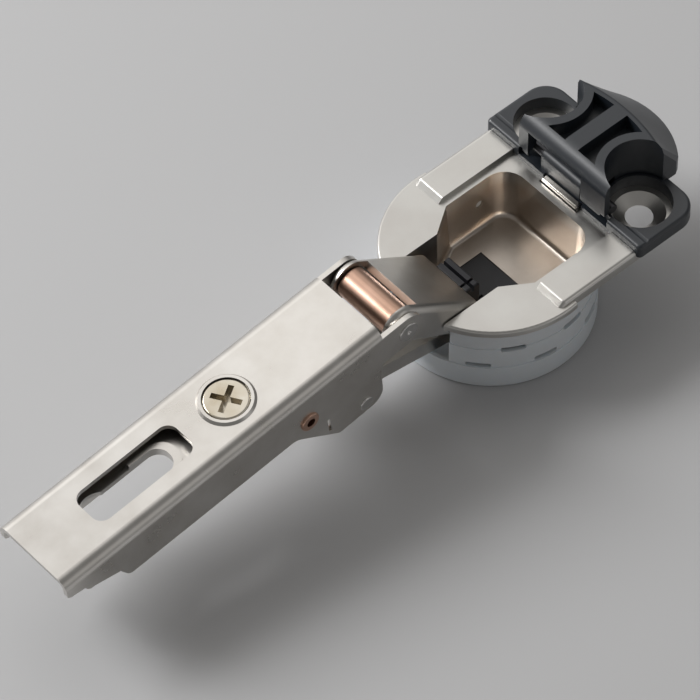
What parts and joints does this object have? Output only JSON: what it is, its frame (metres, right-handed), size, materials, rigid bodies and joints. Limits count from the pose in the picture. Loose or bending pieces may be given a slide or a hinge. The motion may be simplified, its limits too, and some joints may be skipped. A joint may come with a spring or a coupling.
{
  "type": "concealed cup hinge",
  "caption": "Concealed furniture hinge with a round press-in cup, a locking lever and a long slotted arm folded out on two links.",
  "frame": {"origin": "on the cup's axis at the cup's bottom face", "axes": "+X from the cup towards the opened arm, +Y along the pivot pins, +Z out of the flange's top"},
  "size_m": [0.1307, 0.0364, 0.0262],
  "materials": {
    "satin_nickel": "satin nickel plate on pressed steel",
    "white_plastic": "slightly translucent bluish white plastic",
    "black_plastic": "semi-gloss blue-black plastic",
    "damper_black": "matt black plastic",
    "copper": "copper plate, lightly brushed",
    "spring_steel": "bare spring wire",
    "pin_steel": "polished rivet heads",
    "screw_steel": "worn yellowish zinc plate"
  },
  "bodies": {
    "cup": {"cup_steel": "satin_nickel", "cup_ring": "white_plastic", "lug_plate": "black_plastic", "damper_housing": "damper_black", "damper_cylinder": "pin_steel", "link_stub_rivets": "pin_steel", "inner_link_pin": "pin_steel", "lever_pin": "pin_steel", "closing_spring": "spring_steel"},
    "wedge": {"ring_wedge": "satin_nickel"},
    "lever": {"locking_lever": "black_plastic"},
    "plunger": {"damper_plunger": "damper_black"},
    "outer_link": {"outer_link": "satin_nickel"},
    "roller": {"copper_roller": "copper"},
    "inner_link": {"inner_link": "satin_nickel"},
    "arm": {"arm": "satin_nickel", "front_pin": "pin_steel", "arm_rivet": "pin_steel", "tilt_rivet": "copper"},
    "side_screw": {"side_screw": "screw_steel"},
    "carriage": {"carriage": "satin_nickel", "latch_pin": "pin_steel", "latch_spring": "spring_steel"},
    "rear_latch": {"rear_latch": "satin_nickel"}
  },
  "joints": [
    {"name": "fold", "type": "hinge", "parent": "cup", "child": "outer_link", "pos_m": [0.01, 0, 0.0102], "axis": [0, -1, 0], "range_deg": [0, 122]},
    {"name": "arm_turn", "type": "hinge", "parent": "outer_link", "child": "arm", "pos_m": [0.0251, 0, 0.0214], "axis": [0, -1, 0], "range_deg": [-25.44, 0]},
    {"name": "inner_turn", "type": "hinge", "parent": "cup", "child": "inner_link", "pos_m": [0.011, 0, 0.0062], "axis": [0, -1, 0], "range_deg": [0, 104]},
    {"name": "plunger_slide", "type": "slide", "parent": "cup", "child": "plunger", "axis": [0, 0, -1], "range_m": [0, 0.0065]},
    {"name": "roller_spin", "type": "hinge", "parent": "outer_link", "child": "roller", "pos_m": [0.0251, 0, 0.0214], "axis": [0, 1, 0], "continuous": true},
    {"name": "lever_lift", "type": "hinge", "parent": "cup", "child": "lever", "pos_m": [-0.0173, 0, 0.0186], "axis": [0, 1, 0], "range_deg": [0, 30]},
    {"name": "wedge_slide", "type": "slide", "parent": "cup", "child": "wedge", "axis": [0, 0, 1], "range_m": [0, 0.002]},
    {"name": "screw_turn", "type": "hinge", "parent": "arm", "child": "side_screw", "pos_m": [0.05583, 0, 0.0227], "axis": [0.1142, 0, 0.9935], "range_deg": [-90, 90]},
    {"name": "carriage_tilt", "type": "hinge", "parent": "arm", "child": "carriage", "pos_m": [0.04573, 0, 0.01626], "axis": [0, 1, 0], "range_deg": [-1.2, 1.2]},
    {"name": "latch_turn", "type": "hinge", "parent": "carriage", "child": "rear_latch", "pos_m": [0.0861, 0, 0.01278], "axis": [0, 1, 0], "range_deg": [0, 14], "stiffness_Nm_per_rad": 0.02, "springref_deg": -11.46}
  ],
  "couplings": [
    {"joint": "arm_turn", "follows": "fold", "ratio": -0.20852},
    {"joint": "inner_turn", "follows": "fold", "ratio": 0.85245},
    {"joint": "plunger_slide", "follows": "fold", "m_per_rad": 0.003052},
    {"joint": "wedge_slide", "follows": "lever_lift", "m_per_rad": 0.003819},
    {"joint": "screw_turn", "follows": "carriage_tilt", "ratio": 74.99}
  ]
}
